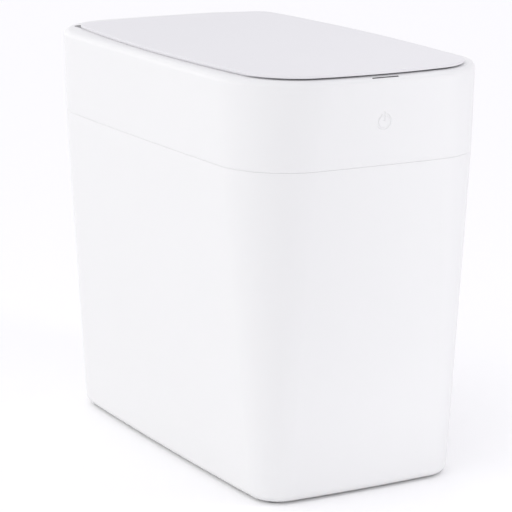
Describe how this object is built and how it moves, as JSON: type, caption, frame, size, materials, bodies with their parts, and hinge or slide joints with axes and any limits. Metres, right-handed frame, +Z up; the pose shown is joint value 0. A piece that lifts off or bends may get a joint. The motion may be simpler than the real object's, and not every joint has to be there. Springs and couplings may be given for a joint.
{
  "type": "sensor waste bin",
  "caption": "Slim tapered waste bin with a lift-off head and a flat flap lid that a small geared motor opens at the wave of a hand.",
  "frame": {"origin": "centre of the base on the floor, under the four feet", "axes": "+Z up, -Y the front with the sensor slit and the touch mark, +X the bin's own left-to-right as seen from the front"},
  "size_m": [0.2234, 0.3768, 0.3328],
  "materials": {
    "white_abs": "satin",
    "lid_abs": "fine satin",
    "white_pp": "matte",
    "grey_pp": "matte",
    "soft_rubber": "matte",
    "smoked_lens": "polished",
    "zinc_steel": "zinc plated",
    "spring_steel": "nickel plated",
    "brass": "machined",
    "acetal": "moulded",
    "circuit_board": "solder mask",
    "black_epoxy": "matte",
    "copper_pad": "foil",
    "ribbon_pvc": "matte",
    "red_pvc": "satin",
    "black_pvc": "satin",
    "cell_wrap": "printed sleeve without marks"
  },
  "bodies": {
    "tub": {"tub": "white_abs", "feet": "soft_rubber"},
    "bag_ring": {"bag_ring": "grey_pp"},
    "head": {"head_cover": "white_abs", "frame_plate": "white_pp", "throat_sleeve": "white_pp", "hinge_housing": "white_pp", "cover_screws": "zinc_steel", "hinge_rod": "zinc_steel", "rod_clips": "spring_steel", "sensor_window": "smoked_lens", "touch_electrode": "copper_pad", "sensor_board": "circuit_board", "board_screws": "zinc_steel", "ir_diodes": "smoked_lens", "board_chips": "black_epoxy", "buzzer": "black_epoxy", "control_board": "circuit_board", "ribbon_cable": "ribbon_pvc", "leads_red": "red_pvc", "leads_black": "black_pvc", "drive_case": "grey_pp", "drive_case_screws": "zinc_steel", "idler_shaft": "zinc_steel", "reduction_shaft": "zinc_steel", "motor_can": "spring_steel", "motor_gearhead": "brass", "motor_screws": "zinc_steel", "battery_box": "grey_pp", "box_screws": "zinc_steel", "battery_cells": "cell_wrap", "cell_springs": "spring_steel", "contact_plates": "spring_steel"},
    "lid": {"lid_skin": "lid_abs", "lid_liner": "white_pp", "lid_seal": "soft_rubber", "lid_bumpers": "soft_rubber", "lid_gear": "acetal", "lid_screws": "zinc_steel", "gear_screws": "zinc_steel"},
    "idler": {"idler_gear": "acetal"},
    "reduction": {"reduction_gear": "acetal"},
    "pinion": {"motor_pinion": "brass", "motor_shaft": "zinc_steel"},
    "battery_door": {"battery_door": "white_abs"}
  },
  "joints": [
    {"name": "head_lift", "type": "slide", "parent": "tub", "child": "head", "axis": [0, 0, 1], "range_m": [0, 0.16]},
    {"name": "bag_ring_lift", "type": "slide", "parent": "tub", "child": "bag_ring", "axis": [0, 0, 1], "range_m": [0, 0.08]},
    {"name": "lid_hinge", "type": "hinge", "parent": "head", "child": "lid", "pos_m": [0, 0.153, 0.325], "axis": [-1, 0, 0], "range_deg": [0, 85]},
    {"name": "idler_spin", "type": "hinge", "parent": "head", "child": "idler", "pos_m": [0.027, 0.153, 0.3074], "axis": [-1, 0, 0], "range_deg": [-123.3, 0]},
    {"name": "reduction_spin", "type": "hinge", "parent": "head", "child": "reduction", "pos_m": [0.03, 0.153, 0.2946], "axis": [-1, 0, 0], "range_deg": [0, 158.4]},
    {"name": "pinion_spin", "type": "hinge", "parent": "head", "child": "pinion", "pos_m": [0.0335, 0.1674, 0.2946], "axis": [-1, 0, 0], "range_deg": [-410.9, 0]},
    {"name": "battery_door_hinge", "type": "hinge", "parent": "head", "child": "battery_door", "pos_m": [-0.028, 0.1822, 0.2809], "axis": [-1, 0, 0], "range_deg": [0, 80]}
  ],
  "couplings": [
    {"joint": "bag_ring_lift", "follows": "head_lift", "ratio": 0.5},
    {"joint": "idler_spin", "follows": "lid_hinge", "ratio": -1.4444},
    {"joint": "reduction_spin", "follows": "lid_hinge", "ratio": 1.8571},
    {"joint": "pinion_spin", "follows": "lid_hinge", "ratio": -4.8286}
  ]
}
